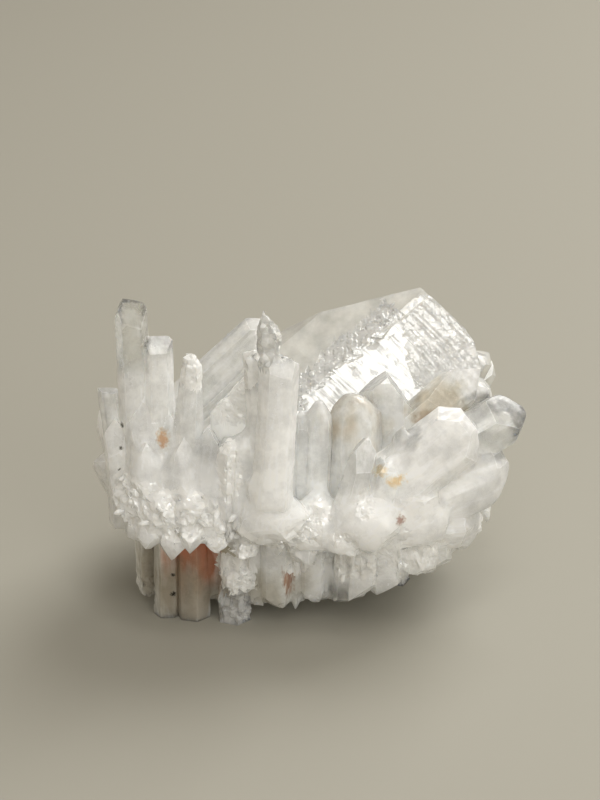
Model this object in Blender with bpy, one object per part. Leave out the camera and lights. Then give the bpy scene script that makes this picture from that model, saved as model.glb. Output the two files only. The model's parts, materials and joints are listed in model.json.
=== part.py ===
"""Quartz cluster: one grown-together mass of rock crystal, as a single solid.

Long hexagonal crystals stand up and lean outwards from a common root. Below the root their lower
ends hang down as broken columns, and some of those are cut flat at the height on which the piece
rests. Every crystal is a six-sided prism that is cut by the faces of its point, and all of them
are fused with a Boolean union.

The origin is at the middle of the underside of the bounding box: +X right, +Y back, +Z up.
The tables give places and sizes in millimetres; the meshes are in metres.
"""

import math
import random
from dataclasses import dataclass

import bmesh
import bpy
from mathutils import Matrix, Vector

MM = 0.001
NODE = "quartz_cluster"
SEED = 1204

SIDES = 6
SECTOR = 2 * math.pi / SIDES
# Quartz: the angle between the normal of a point's face and the crystal's long axis, in degrees.
POINT_TILT = 51.8
# How unevenly a prism's corners stand from its axis.
CORNER_RANGE = (0.90, 1.07)

ROOT_CENTRE = (1.0, 3.0, 35.0)
ROOT_RADII = (46.0, 30.0, 17.0)
ROOT_CHIPS = 64


@dataclass(frozen=True)
class Crystal:
    """A six-sided prism from foot to tip, in mm.

    Width is across its corners at the foot, and taper is the width at the tip over that. Depth is
    its thickness over that of an even hexagon, turn is in degrees about its axis, and face is the
    front face's share of the width.
    """

    foot: tuple
    tip: tuple
    width: float
    taper: float = 0.88
    depth: float = 0.85
    form: str = "point"
    turn: float = 0.0
    face: float = 0.5


@dataclass(frozen=True)
class Lump:
    """A broken knob of quartz with flat chips all round, in mm."""

    centre: tuple
    radii: tuple
    chips: int = 16


@dataclass(frozen=True)
class Fringe:
    """A stretch of crystals round the root, each drawn at random from these ranges, in mm.

    Angles run from +X towards +Y, and reach is a share of the root's radii. Lean is from the
    upright, so that over 90 points down. No tip is higher than the ceiling.
    """

    count: int
    angles: tuple
    reach: float
    height: tuple
    lean: tuple
    length: tuple
    width: tuple
    ceiling: float = 100.0
    form: str = "point"


# Ends with set faces: (tilt and azimuth in degrees, height above the tip over the end's radius).
# Azimuths run from the crystal's right towards its back.
ENDS = {
    "flat": (),
    "worn": ((14, 250, 0.0), (44, 0, 0.5), (44, 180, 0.5), (40, 270, 0.55), (40, 90, 0.5), (66, 20, 1.5)),
    "dome": (
        *((8, 240, 0.0), (30, 10, 0.12), (30, 130, 0.12), (30, 250, 0.12)),
        *((54, 30, 0.5), (54, 90, 0.5), (54, 150, 0.5), (54, 210, 0.5), (54, 270, 0.5), (54, 330, 0.5)),
    ),
    "steep": ((72, 268, 0.3), (60, 20, 0.15), (56, 165, 0.25)),
    "blade": ((16, 10, 0.0), (62, 180, 0.95), (60, 285, -0.1), (50, 90, 0.5)),
    "flame": ((60, 0, 0.0), (78, 180, 1.9), (66, 270, 0.7), (66, 90, 0.9)),
    "gable": ((54, 0, 0.0), (34, 180, 0.0), (50, 270, 0.65), (50, 90, 0.6)),
    "sloped": ((30, 10, 0.0), (55, 200, 0.5), (68, 275, 0.9), (55, 100, 0.6)),
    "wedge": ((47, 180, 0.0), (25, 90, 0.5)),
    "large": (
        *((8, 270, 0.0), (58, 180, 0.44), (40, 90, 0.5), (50, 40, 1.05)),
        *((15, 0, 0.02), (30, 0, 0.17)),
    ),
}

# Upright crystals at the left of the front.
LEFT_GROUP = (
    Crystal((-46.5, -22, 30), (-47.5, -17, 93), 8.8, 0.94, 0.9, "blade", 8, 0.6),
    Crystal((-40.5, -24, 34), (-40.5, -18, 83), 8.6, 0.95, 0.9, "chisel", 8, 0.55),
    Crystal((-45, -26, 30), (-44.5, -22, 66), 12.5, 0.75, 0.9, "steep", 10),
    Crystal((-37, -26, 32), (-37.5, -23, 63), 13.5, 0.8, 0.9, "steep", -12),
    Crystal((-51, -12, 33), (-55.5, -7, 63.5), 9.0, 0.6, 0.9, "broken"),
    Crystal((-51, -2, 28), (-58, 1, 53), 10.0, 0.6, 0.9, "broken"),
    Crystal((-47, -13, 30), (-56, -12, 46), 13.5, 0.7, 0.9, "broken"),
    Crystal((-44, -30, 31), (-43.5, -27.5, 57), 12.5, 0.7, 0.9, "steep", 20),
    Crystal((-50, -22, 30), (-52.5, -20, 60), 10.5, 0.6, 0.9, "steep", -10),
    Crystal((-34, -26, 42), (-31, -24.5, 80.5), 10.5, 0.42, 0.85, "broken"),
    Crystal((-34, -30, 30), (-33, -27.5, 59), 13.0, 0.75, 0.9, "steep", 25),
    Crystal((-38.5, -31, 32), (-38.5, -28.5, 52), 8.0, 0.7, 0.9, "point", 10),
)

# The tall milky prism at the centre, the double point that rides on it, and its neighbours.
CENTRE_GROUP = (
    Crystal((-10.6, -37.5, 43), (-8.2, -31, 85), 11.6, 0.9, 0.9, "sloped", 8, 0.55),
    Crystal((-10.5, -31, 72), (-11, -30.5, 96), 5.0, 2.1, 0.85, "flame"),
    Crystal((-14, -28, 60), (-15.5, -27, 83), 7.0, 0.7, 0.9, "broken"),
    Crystal((-19.5, -23, 44), (-19.5, -17.5, 74), 15.0, 1.0, 0.35, "wedge", 0, 0.6),
    Crystal((-45, -2, 45), (-11, 6, 76), 14.5, 0.85, 0.6, "slant", 0),
    Crystal((-18, -32, 35), (-17.3, -28.5, 60.5), 12.0, 0.8, 0.85, "dome", 8),
    Crystal((-27, -31, 31), (-27, -27.5, 61), 13.5, 0.75, 0.9, "steep", -20),
    Crystal((-22, -33, 33), (-21.5, -31, 60), 9.0, 0.7, 0.9, "broken", 25),
    Crystal((-26, -22, 38), (-25, -18, 60), 12.0, 0.8, 0.9, "steep"),
    Crystal((-7, -25, 34), (-5, -17, 60), 11.0, 0.8, 0.9, "broken"),
)

# Short blunt crystals in front of the large one.
MIDDLE_GROUP = (
    Crystal((0.5, -27, 30), (2.4, -21, 66.5), 9.0, 0.85, 0.9, "dome", 10),
    Crystal((-2.5, -27, 32), (-2, -21, 64), 6.0, 0.75, 0.9, "steep"),
    Crystal((11, -24, 32), (11.5, -17, 66.5), 16.5, 0.85, 0.8, "dome", 5),
    Crystal((21, -15, 32), (20.5, -8, 67.5), 17.0, 0.95, 0.75, "gable", 0),
    Crystal((8, -35, 29), (15, -31, 60), 12.0, 0.5, 0.9, "steep", 15),
    Crystal((17, -33, 31), (21, -29, 53), 13.0, 0.75, 0.9, "dome"),
    Crystal((22, -29, 38), (24.5, -26, 61), 9.0, 0.6, 0.9, "steep", -15),
    Crystal((0, -33, 30), (3, -29.5, 44), 12.0, 0.75, 0.9, "dome"),
    Crystal((27, -14, 36), (29, -10, 55), 11.0, 0.85, 0.9, "broken"),
)

# Milky crystals that lean out to the right, most of them along the large one.
RIGHT_GROUP = (
    Crystal((17, -15, 44), (46.5, -4.5, 67.5), 14.5, 0.95, 0.85, "steep"),
    Crystal((30, -5, 40), (48, 0, 62), 17.0, 0.85, 0.9, "dome", 10),
    Crystal((35, 8, 40), (48.5, 14, 65), 10.5, 0.85, 0.9, "broken"),
    Crystal((24, -19, 43), (58.5, -11, 59.5), 17.5, 0.95, 0.8, "point", 38),
    Crystal((12, -31, 38), (43, -21.5, 60), 19.0, 0.95, 0.7, "dome", 0, 0.7),
    Crystal((20, -24, 35), (53.5, -14, 45), 22.0, 0.9, 0.8, "dome", 0, 0.6),
    Crystal((18, -26, 30), (45.5, -18, 29), 20.0, 0.9, 0.8, "dome", 0, 0.6),
    Crystal((26, -12, 32), (51, -3, 37), 18.0, 0.9, 0.85, "dome"),
    Crystal((24, -14, 28), (43, -8, 20), 14.0, 0.9, 0.85, "dome"),
)

# The large clear crystal behind, which lies back and to the right. Its front is two faces.
LARGE_CRYSTAL = Crystal((-6, 0, 38), (40, 32, 67), 58.0, 0.98, 0.52, "large", 0, 0.7)
# Where the two front faces meet, off the crystal's middle in mm, and the angle between them.
LARGE_FOLD_AT = -6.0
LARGE_FOLD_ANGLE = 17.0

# Pointed teeth that hang from the skirt over the columns.
TEETH = (
    Crystal((-42.5, -31, 38), (-44, -35, 28.5), 8.5, 0.85),
    Crystal((-36.5, -32, 37), (-37.5, -37, 26), 8.0, 0.85, 0.9, "point", 20),
    Crystal((-31.5, -32, 38), (-32, -38, 28.5), 9.0, 0.85),
    Crystal((-25, -32, 35), (-25.5, -37, 28), 7.5, 0.85, 0.9, "point", 15),
    Crystal((-17, -32, 33), (-17.5, -36, 25.5), 7.5, 0.85, 0.9, "broken"),
    Crystal((-2, -31, 32), (-2, -36, 24), 8.0, 0.85, 0.9, "broken", 10),
)

# Broken lower ends. One whose tip is below 0 is cut flat where the cluster rests.
COLUMNS = (
    Crystal((-44.5, -19, 33), (-45.5, -15, 2.5), 8.5, 0.9, 0.9, "broken"),
    Crystal((-38.5, -24, 33), (-40, -20.5, -4), 8.5, 0.97, 0.9, "flat"),
    Crystal((-32.5, -25, 33), (-33, -21.5, -4), 10.0, 0.97, 0.9, "flat", 12),
    Crystal((-26, -25, 33), (-27, -20, 4), 8.0, 0.95, 0.9, "broken"),
    Crystal((-20, -27, 31), (-21.5, -22.5, -3), 10.5, 0.97, 0.9, "flat", 20),
    Crystal((-15, -29, 32), (-15, -24, 5.5), 7.5, 0.95, 0.9, "broken"),
    Crystal((-9.5, -31, 33), (-10, -24.5, 5), 10.5, 1.05, 0.9, "broken"),
    Crystal((-4.5, -29, 31), (-4.5, -23, 5), 8.0, 0.95, 0.9, "broken", 25),
    Crystal((0.5, -30, 33), (0.5, -24, 6), 9.5, 0.95, 0.9, "broken"),
    Crystal((5.5, -29, 32), (5, -23, 6.5), 8.5, 0.95, 0.9, "broken", 20),
    Crystal((9.5, -32, 30), (8.5, -26, 6), 7.0, 0.8, 0.9, "point"),
    Crystal((14.5, -32, 33), (14, -27, 10), 13.0, 0.92, 0.9, "broken", 10),
    Crystal((21, -32, 34), (20.5, -27, 12.5), 12.0, 0.92, 0.9, "broken"),
    Crystal((28, -30.5, 41), (28.5, -27, 14), 13.5, 0.95, 0.9, "broken", 15),
    Crystal((34, -26, 38), (34.5, -21, 15), 10.5, 0.9, 0.9, "broken"),
    Crystal((36, -22, 34), (37, -15, 18), 11.0, 0.9, 0.9, "broken"),
    Crystal((24, -4, 30), (24, -2, -3), 11.0, 0.95, 0.9, "flat"),
    Crystal((30, 5, 28), (30, 6, 3), 10.5, 0.95, 0.9, "broken"),
    Crystal((35, 14, 28), (36, 16, 6), 9.5, 0.95, 0.9, "broken", 15),
    Crystal((38, 2, 28), (39, 4, 11), 10.0, 0.95, 0.9, "broken"),
    Crystal((-26, 18, 32), (-27, 21, -3), 10.5, 0.95, 0.9, "flat"),
    Crystal((3, 20, 32), (3, 23, -3), 9.5, 0.95, 0.9, "flat", 15),
    Crystal((27, 15, 32), (28, 18, -3), 10.5, 0.95, 0.9, "flat"),
)

# Crushed knobs where the upper crystals meet the columns.
LUMPS = (
    Lump((-46, -26, 40), (8, 8, 9), 26),
    Lump((-40, -31, 37), (8, 7, 9), 30),
    Lump((-33, -32, 38), (7, 6.5, 8), 28),
    Lump((-25.5, -32, 34), (7, 6, 6), 24),
    Lump((-20, -27, 15), (5.5, 4.5, 7), 20),
    Lump((-12.5, -36, 46), (5.6, 4.2, 6.5), 22),
    Lump((-10.5, -33.5, 37.5), (11, 9, 8.5), 34),
    Lump((1, -32, 33), (11, 8, 8), 30),
    Lump((14, -33, 36), (12, 9, 9), 38),
    Lump((27, -29, 34), (12, 9, 9), 34),
    Lump((35, -19, 47), (12, 8, 9), 28),
    Lump((40, -18, 27), (8, 8, 8), 24),
)

# Small teeth under the front, the inside of the bowl, then the sides and the back.
FRINGES = (
    Fringe(20, (206, 335), 1.14, (28, 35), (120, 165), (4, 8), (4, 8)),
    Fringe(8, (205, 335), 1.12, (36, 42), (50, 80), (4, 7), (4, 7)),
    Fringe(7, (110, 250), 0.50, (40, 44), (4, 20), (6, 14), (10, 14), 56.0),
    Fringe(4, (262, 330), 0.35, (42, 46), (4, 16), (6, 10), (9, 13), 58.0),
    Fringe(6, (20, 80), 0.85, (34, 42), (20, 40), (22, 32), (10, 16), 62.0),
    Fringe(7, (84, 176), 0.80, (32, 40), (14, 40), (10, 22), (7, 15), 50.0),
    Fringe(9, (-5, 192), 0.93, (32, 40), (40, 72), (12, 20), (12, 18), 50.0),
    Fringe(14, (4, 194), 0.98, (24, 36), (72, 108), (6, 13), (6, 12)),
    Fringe(12, (18, 196), 0.82, (26, 33), (158, 176), (16, 25), (8, 14), 100.0, "broken"),
    Fringe(8, (8, 190), 0.92, (20, 27), (125, 155), (5, 10), (6, 11), 100.0, "worn"),
    Fringe(7, (10, 350), 0.42, (28, 30), (172, 180), (16, 21), (9, 12), 100.0, "broken"),
)


def clear_scene():
    """Removes every object that the startup scene holds."""
    for obj in list(bpy.data.objects):
        bpy.data.objects.remove(obj, do_unlink=True)


def new_collection(name):
    """A collection linked to the scene."""
    collection = bpy.data.collections.new(name)
    bpy.context.scene.collection.children.link(collection)
    return collection


def cut(bm, point, normal):
    """Cuts away what lies outside the plane, and closes the convex body again."""
    found = bmesh.ops.bisect_plane(
        bm,
        geom=bm.verts[:] + bm.edges[:] + bm.faces[:],
        dist=1e-7,
        plane_co=point,
        plane_no=normal,
        clear_outer=True,
    )
    rim = [e for e in found["geom_cut"] if isinstance(e, bmesh.types.BMEdge)]
    if rim:
        bmesh.ops.contextual_create(bm, geom=rim)


def end_faces(form, radius, rng):
    """(tilt and azimuth in degrees, height above the tip in metres) of the faces of an end."""
    if form in ENDS:
        return [(tilt, azimuth, height * radius) for tilt, azimuth, height in ENDS[form]]
    if form == "broken":
        faces = [(rng.uniform(8, 28), rng.uniform(0, 360), 0.0)]
        faces += [(rng.uniform(35, 60), rng.uniform(0, 360), 0.35 * radius) for _ in range(3)]
        return faces
    if form == "slant":
        rises = [rng.uniform(0.65, 0.9) for _ in range(SIDES - 1)] + [0.0]
    elif form == "chisel":
        rises = [0.8, 0.0, 0.8, 0.8, 0.0, 0.8]
    else:
        rises = [-rng.uniform(0, 0.45) * (1 + i % 2) for i in range(SIDES)]
    middle = math.degrees(SECTOR) / 2
    step = math.degrees(SECTOR)
    return [(POINT_TILT, middle + step * i, rise * radius) for i, rise in enumerate(rises)]


def crystal_body(spec, length, rng):
    """The crystal along +Z from the origin, in metres, as a bmesh. Its tip is at that length."""
    bm = bmesh.new()
    radius = spec.width / 2 * MM
    top_radius = radius * spec.taper
    # The prism starts longer than the crystal, so that a slanting face ends it right across.
    spare = 0.0 if spec.form == "flat" else 2 * top_radius
    bmesh.ops.create_cone(
        bm,
        cap_ends=True,
        segments=SIDES,
        radius1=radius,
        radius2=top_radius,
        depth=length + spare,
        matrix=Matrix.Translation((0, 0, (length + spare) / 2)) @ Matrix.Rotation(SECTOR / 2, 4, "Z"),
    )
    corners = [rng.uniform(*CORNER_RANGE) for _ in range(SIDES)]
    for vert in bm.verts:
        corner = round(math.atan2(vert.co.y, vert.co.x) / SECTOR) % SIDES
        on_side = corner % (SIDES // 2) == 0
        vert.co.x *= corners[corner] * (1.0 if on_side else spec.face / 0.5)
        vert.co.y *= corners[corner] * spec.depth
    for tilt, azimuth, rise in end_faces(spec.form, top_radius, rng):
        tilt, azimuth = math.radians(tilt), math.radians(azimuth)
        side = Vector((math.cos(azimuth), math.sin(azimuth) / spec.depth, 0)).normalized()
        cut(bm, Vector((0, 0, length + rise)), side * math.sin(tilt) + Vector((0, 0, math.cos(tilt))))
    if spec.form == "large":
        fold = math.radians(LARGE_FOLD_ANGLE)
        front = min(v.co.y for v in bm.verts)
        cut(bm, Vector((LARGE_FOLD_AT * MM, front, 0)), Vector((-math.sin(fold), -math.cos(fold), 0)))
    if spec.form != "flat":
        top = max(v.co.z for v in bm.verts)
        bm.transform(Matrix.Translation((0, 0, length - top)))
    return bm


def placed(spec):
    """The matrix that takes a crystal along +Z to its foot and its lean."""
    foot, tip = Vector(spec.foot) * MM, Vector(spec.tip) * MM
    along = (tip - foot).normalized()
    across = Vector((1, 0, 0)) - along * along.x
    if across.length < 0.2:
        across = Vector((0, 1, 0)) - along * along.y
    across.normalize()
    behind = along.cross(across)
    axes = Matrix((across, behind, along)).transposed().to_4x4()
    return Matrix.Translation(foot) @ axes @ Matrix.Rotation(math.radians(spec.turn), 4, "Z")


def add_object(name, bm, collection):
    """An object made of the bmesh, with its normals outwards."""
    bmesh.ops.recalc_face_normals(bm, faces=bm.faces)
    mesh = bpy.data.meshes.new(name)
    bm.to_mesh(mesh)
    bm.free()
    obj = bpy.data.objects.new(name, mesh)
    collection.objects.link(obj)
    return obj


def add_crystal(name, spec, collection, rng):
    """Adds one crystal. A flat one, which reaches below 0, is cut there."""
    length = (Vector(spec.tip) - Vector(spec.foot)).length * MM
    bm = crystal_body(spec, length, rng)
    bm.transform(placed(spec))
    if spec.form == "flat":
        cut(bm, Vector((0, 0, 0)), Vector((0, 0, -1)))
    return add_object(name, bm, collection)


def add_lump(name, spec, collection, rng):
    """Adds the convex hull of points that spiral over an ellipsoid."""
    bm = bmesh.new()
    golden = math.pi * (3 - math.sqrt(5))
    for i in range(spec.chips):
        height = 1 - 2 * (i + 0.5) / spec.chips
        ring = math.sqrt(1 - height * height)
        angle = golden * i + rng.uniform(-0.3, 0.3)
        size = rng.uniform(0.82, 1.05)
        point = Vector((ring * math.cos(angle), ring * math.sin(angle), height)) * size
        bm.verts.new([c + r * p for c, r, p in zip(spec.centre, spec.radii, point)])
    bmesh.ops.scale(bm, vec=(MM, MM, MM), verts=bm.verts)
    hull = bmesh.ops.convex_hull(bm, input=bm.verts)
    inside = {g for g in hull["geom_interior"] if isinstance(g, bmesh.types.BMVert)}
    bmesh.ops.delete(bm, geom=list(inside), context="VERTS")
    return add_object(name, bm, collection)


def fringe_crystals(fringe, rng):
    """The crystals of one fringe, evenly spread over its angles and then jittered."""
    first, last = fringe.angles
    step = (last - first) / fringe.count
    for i in range(fringe.count):
        angle = math.radians(first + step * (i + rng.uniform(0.2, 0.8)))
        lean = math.radians(rng.uniform(*fringe.lean))
        outward = Vector((math.cos(angle), math.sin(angle), 0))
        along = outward * math.sin(lean) + Vector((0, 0, math.cos(lean)))
        foot = Vector(ROOT_CENTRE)
        foot.x += ROOT_RADII[0] * fringe.reach * outward.x
        foot.y += ROOT_RADII[1] * fringe.reach * outward.y
        foot.z = rng.uniform(*fringe.height)
        length = rng.uniform(*fringe.length)
        if foot.z + along.z * length > fringe.ceiling:
            length = (fringe.ceiling - foot.z) / along.z
        buried = foot - along * fringe.width[1]
        width = rng.uniform(*fringe.width)
        turn = math.degrees(SECTOR) * rng.random()
        yield Crystal(tuple(buried), tuple(foot + along * length), width, 0.82, 0.9, fringe.form, turn)


def fuse(root, collection):
    """Joins everything in the collection to the root, and takes the helpers away."""
    union = root.modifiers.new("grown_together", "BOOLEAN")
    union.operation = "UNION"
    union.operand_type = "COLLECTION"
    union.collection = collection
    union.solver = "EXACT"
    graph = bpy.context.evaluated_depsgraph_get()
    mesh = bpy.data.meshes.new_from_object(root.evaluated_get(graph))
    root.modifiers.clear()
    root.data = mesh
    for obj in list(collection.objects):
        bpy.data.objects.remove(obj, do_unlink=True)
    bpy.data.collections.remove(collection)


def fill_hollows(obj):
    """Deletes the closed shells that face inwards, which are the hollows left inside the union."""
    bm = bmesh.new()
    bm.from_mesh(obj.data)
    left = set(bm.verts)
    while left:
        shell, edge = set(), {next(iter(left))}
        while edge:
            shell |= edge
            edge = {e.other_vert(v) for v in edge for e in v.link_edges} - shell
        left -= shell
        faces = {f for v in shell for f in v.link_faces}
        if sum(f.calc_area() * f.normal.dot(f.calc_center_median()) for f in faces) < 0:
            bmesh.ops.delete(bm, geom=list(shell), context="VERTS")
    bm.to_mesh(obj.data)
    bm.free()


def centre_over_origin(obj):
    """Moves the mesh so that the middle of its bounding box is over the origin."""
    xs = [v.co.x for v in obj.data.vertices]
    ys = [v.co.y for v in obj.data.vertices]
    middle = Vector((min(xs) + max(xs), min(ys) + max(ys), 0)) / 2
    obj.data.transform(Matrix.Translation(-middle))


def quartz_material():
    """Clear to milky rock crystal."""
    material = bpy.data.materials.new("rock_crystal")
    material.use_nodes = True
    shader = material.node_tree.nodes["Principled BSDF"]
    shader.inputs["Base Color"].default_value = (0.86, 0.84, 0.80, 1)
    shader.inputs["Roughness"].default_value = 0.12
    shader.inputs["Metallic"].default_value = 0.0
    shader.inputs["IOR"].default_value = 1.544
    shader.inputs["Transmission Weight"].default_value = 0.6
    return material


def main():
    """Builds the cluster."""
    clear_scene()
    rng = random.Random(SEED)
    cluster = new_collection(NODE)
    grown = new_collection("crystals_to_fuse")
    crystals = [*LEFT_GROUP, *CENTRE_GROUP, *MIDDLE_GROUP, *RIGHT_GROUP, LARGE_CRYSTAL, *TEETH, *COLUMNS]
    for fringe in FRINGES:
        crystals.extend(fringe_crystals(fringe, rng))
    for i, spec in enumerate(crystals):
        add_crystal(f"crystal_{i:03d}", spec, grown, rng)
    for i, spec in enumerate(LUMPS):
        add_lump(f"lump_{i:02d}", spec, grown, rng)
    root = add_lump(NODE, Lump(ROOT_CENTRE, ROOT_RADII, ROOT_CHIPS), cluster, rng)
    fuse(root, grown)
    fill_hollows(root)
    centre_over_origin(root)
    root.data.materials.clear()
    root.data.materials.append(quartz_material())


main()
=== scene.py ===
"""Looks of the quartz cluster: clear and milky rock crystal with crushed, sparkling belts.

Meshes are in metres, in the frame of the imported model: +X right, +Y back, +Z up, and the origin
under the middle of the cluster. Places and sizes on the cluster are given in millimetres, and the
places are counted from the point that the crystals were set out from, which is beside the middle.
"""

from __future__ import annotations

import json
import logging
import math
import random
from dataclasses import dataclass
from enum import Enum

import bmesh
import bpy
import numpy as np
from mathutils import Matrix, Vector, noise

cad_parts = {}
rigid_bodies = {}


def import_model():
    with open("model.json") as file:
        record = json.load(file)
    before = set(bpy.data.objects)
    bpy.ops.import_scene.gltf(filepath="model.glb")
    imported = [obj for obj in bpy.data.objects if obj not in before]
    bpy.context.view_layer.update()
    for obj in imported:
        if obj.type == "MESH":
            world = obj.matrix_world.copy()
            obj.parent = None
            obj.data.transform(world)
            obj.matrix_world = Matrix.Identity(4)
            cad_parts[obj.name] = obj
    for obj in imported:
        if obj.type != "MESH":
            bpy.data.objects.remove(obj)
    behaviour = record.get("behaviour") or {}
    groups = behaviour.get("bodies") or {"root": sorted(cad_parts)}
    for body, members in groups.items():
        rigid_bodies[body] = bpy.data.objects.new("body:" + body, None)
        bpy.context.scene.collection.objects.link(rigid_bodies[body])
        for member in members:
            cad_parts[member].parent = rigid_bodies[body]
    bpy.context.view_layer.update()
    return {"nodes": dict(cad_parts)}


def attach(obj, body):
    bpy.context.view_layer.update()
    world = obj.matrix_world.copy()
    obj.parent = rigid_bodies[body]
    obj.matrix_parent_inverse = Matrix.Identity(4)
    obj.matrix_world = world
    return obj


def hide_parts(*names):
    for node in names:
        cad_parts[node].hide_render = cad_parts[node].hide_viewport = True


LOG = logging.getLogger("quartz_cluster")
MM = 0.001
NODE = "quartz_cluster"
BODY = "root"

# The middle of the cluster, counted from the point that its crystals were set out from, in mm.
MIDDLE = (-0.43, 0.71, 0.0)
# Typical index of refraction of quartz.
QUARTZ_IOR = 1.544
# How far red, green and blue travel through the haze, over the haze's depth.
HAZE_REACH = (1.0, 0.96, 0.9)
# Up to this height, in mm, the feet are cut flat and rest on the table, so nothing moves them.
CUT_FEET = 0.5

Triple = tuple[float, float, float]
Socket = bpy.types.NodeSocket


class Finish(Enum):
    """The material slots of the crystals."""

    MILKY = 0
    CLEAR = 1
    MIRROR = 2
    DRUZY = 3
    FOIL = 4


class Shape(Enum):
    """What a small strewn piece looks like."""

    CHIP = "chip"
    POINT = "point"
    FLAKE = "flake"


def linear(colour: str) -> tuple[float, float, float, float]:
    """Turns an sRGB colour into a linear one.

    Args:
        colour: six hex digits after a hash.

    Returns:
        Red, green, blue and an alpha of one.
    """
    parts = [int(colour[i : i + 2], 16) / 255 for i in (1, 3, 5)]
    parts = [c / 12.92 if c <= 0.04045 else ((c + 0.055) / 1.055) ** 2.4 for c in parts]
    return (*parts, 1.0)


def add_node(
    tree: bpy.types.NodeTree, kind: str, inputs: dict | tuple = (), **settings: object
) -> bpy.types.Node:
    """Adds a node with its settings, values and links.

    Args:
        tree: the node tree that gets it.
        kind: the node's type name, such as ShaderNodeMix.
        inputs: values, or output sockets to link from, by socket name or in the sockets' order.
        settings: the node's own properties.

    Returns:
        The new node.
    """
    node = tree.nodes.new(kind)
    for name, value in settings.items():
        setattr(node, name, value)
    pairs = inputs.items() if isinstance(inputs, dict) else enumerate(inputs)
    for key, value in pairs:
        if isinstance(value, Socket):
            tree.links.new(value, node.inputs[key])
        else:
            node.inputs[key].default_value = value
    return node


def add_object(name: str, data: bpy.types.ID) -> bpy.types.Object:
    """Adds an object to the scene.

    Args:
        name: the object's name.
        data: its mesh, light or camera.

    Returns:
        The new object, at the origin.
    """
    obj = bpy.data.objects.new(name, data)
    bpy.context.scene.collection.objects.link(obj)
    return obj


def make_mesh(name: str, bm: bmesh.types.BMesh) -> bpy.types.Mesh:
    """Makes a mesh.

    Args:
        name: the mesh's name.
        bm: its geometry, which is freed.

    Returns:
        The new mesh.
    """
    mesh = bpy.data.meshes.new(name)
    bm.to_mesh(mesh)
    bm.free()
    return mesh


def amid_neighbours(vert: bmesh.types.BMVert) -> Vector:
    """The middle of the vertices that share an edge with a vertex."""
    around = [edge.other_vert(vert).co for edge in vert.link_edges]
    return sum(around, Vector()) / len(around)


def smooth_step(low: float, high: float, value: np.ndarray) -> np.ndarray:
    """A smooth rise from 0 where value is low to 1 where it is high."""
    t = np.clip((value - low) / (high - low), 0, 1)
    return t * t * (3 - 2 * t)


# ------------------------------------------------------------------ places on the cluster


@dataclass(frozen=True)
class Zone:
    """A soft-edged ellipsoid that picks out part of the cluster, in mm."""

    centre: Triple
    radii: Triple
    edge: float = 0.4
    strength: float = 1.0

    def weights(self, points: np.ndarray) -> np.ndarray:
        """The zone's strength deep inside, falling to zero at the edge, for points in mm."""
        reach = np.linalg.norm((points - self.centre) / self.radii, axis=1)
        return self.strength * smooth_step(0, self.edge, 1 - reach)


@dataclass(frozen=True)
class Shaft:
    """One crystal from foot to tip, in mm, and how clear it is towards its tip."""

    foot: Triple
    tip: Triple
    radius: float
    clarity: float = 0.2
    clear_from: float = 0.3
    clear_at: float = 0.9

    @property
    def along(self) -> np.ndarray:
        """The direction of its long axis."""
        axis = np.array(self.tip) - self.foot
        return axis / np.linalg.norm(axis)

    def reach(self, points: np.ndarray) -> tuple[np.ndarray, np.ndarray]:
        """Tells where points are on the crystal.

        Args:
            points: places in mm.

        Returns:
            For each point, its place along the crystal from 0 to 1, and its distance from the
            crystal's axis over the crystal's radius.
        """
        length = np.linalg.norm(np.array(self.tip) - self.foot)
        share = np.clip((points - self.foot) @ self.along / length, 0, 1)
        nearest = self.foot + share[:, None] * length * self.along
        return share, np.linalg.norm(points - nearest, axis=1) / self.radius

    def clear(self, points: np.ndarray) -> np.ndarray:
        """Tells how clear the crystal is.

        Args:
            points: places in mm.

        Returns:
            Its clarity at each point, and zero at points that are off the crystal.
        """
        share, off = self.reach(points)
        on_it = 1 - smooth_step(1, 1.25, off)
        return self.clarity * smooth_step(self.clear_from, self.clear_at, share) * on_it


@dataclass(frozen=True)
class LargeCrystal:
    """The large clear crystal: its long axis, and its front face of two planes, in mm."""

    foot: Triple = (-6.0, 0.0, 38.0)
    tip: Triple = (40.0, 32.0, 67.0)
    half_width: float = 31.0
    half_depth: float = 13.1
    fold_at: float = -6.0
    band_width: float = 8.0
    band_length: float = 50.0
    ridged_at: float = -6.5
    ridged_from: float = 49.5
    ridged_slant: float = 0.6

    @property
    def along(self) -> Vector:
        """The direction of its long axis."""
        return (Vector(self.tip) - Vector(self.foot)).normalized()

    @property
    def across(self) -> Vector:
        """The direction across its front face, to the right."""
        return (Vector((1, 0, 0)) - self.along * self.along.x).normalized()

    @property
    def front(self) -> Vector:
        """The direction that its front face looks in."""
        return self.across.cross(self.along)

    def local(self, points: np.ndarray) -> np.ndarray:
        """Points in mm as distances across, along and out of the front face."""
        axes = np.array([self.across, self.along, self.front])
        return (points - self.foot) @ axes.T

    def rough(self, points: np.ndarray) -> tuple[np.ndarray, np.ndarray]:
        """Tells which points lie on the rough parts of the front face.

        Args:
            points: places in mm.

        Returns:
            For each point, whether it is on the sparkling band beside the fold, and whether it is
            on the ridged end of the face.
        """
        across, along, out = self.local(points).T
        near = (out > self.half_depth - 4) & (along > 4) & (np.abs(across) < self.half_width)
        ragged = np.zeros(len(points))
        # The borders wander by a few millimetres.
        ragged[near] = [
            2.6 * noise.noise(Vector(p) / 5) + 1.6 * noise.noise(Vector(p) / 1.9)
            for p in points[near]
        ]
        beside = across + ragged
        band = near & (beside > self.fold_at - self.band_width) & (beside < self.fold_at + 0.5)
        band &= along < self.band_length
        end_at = self.ridged_from - self.ridged_slant * (across - self.ridged_at)
        end = near & (along + ragged > end_at) & (across > self.fold_at + 1)
        return band, end


# ------------------------------------------------------------------ crystals

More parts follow.
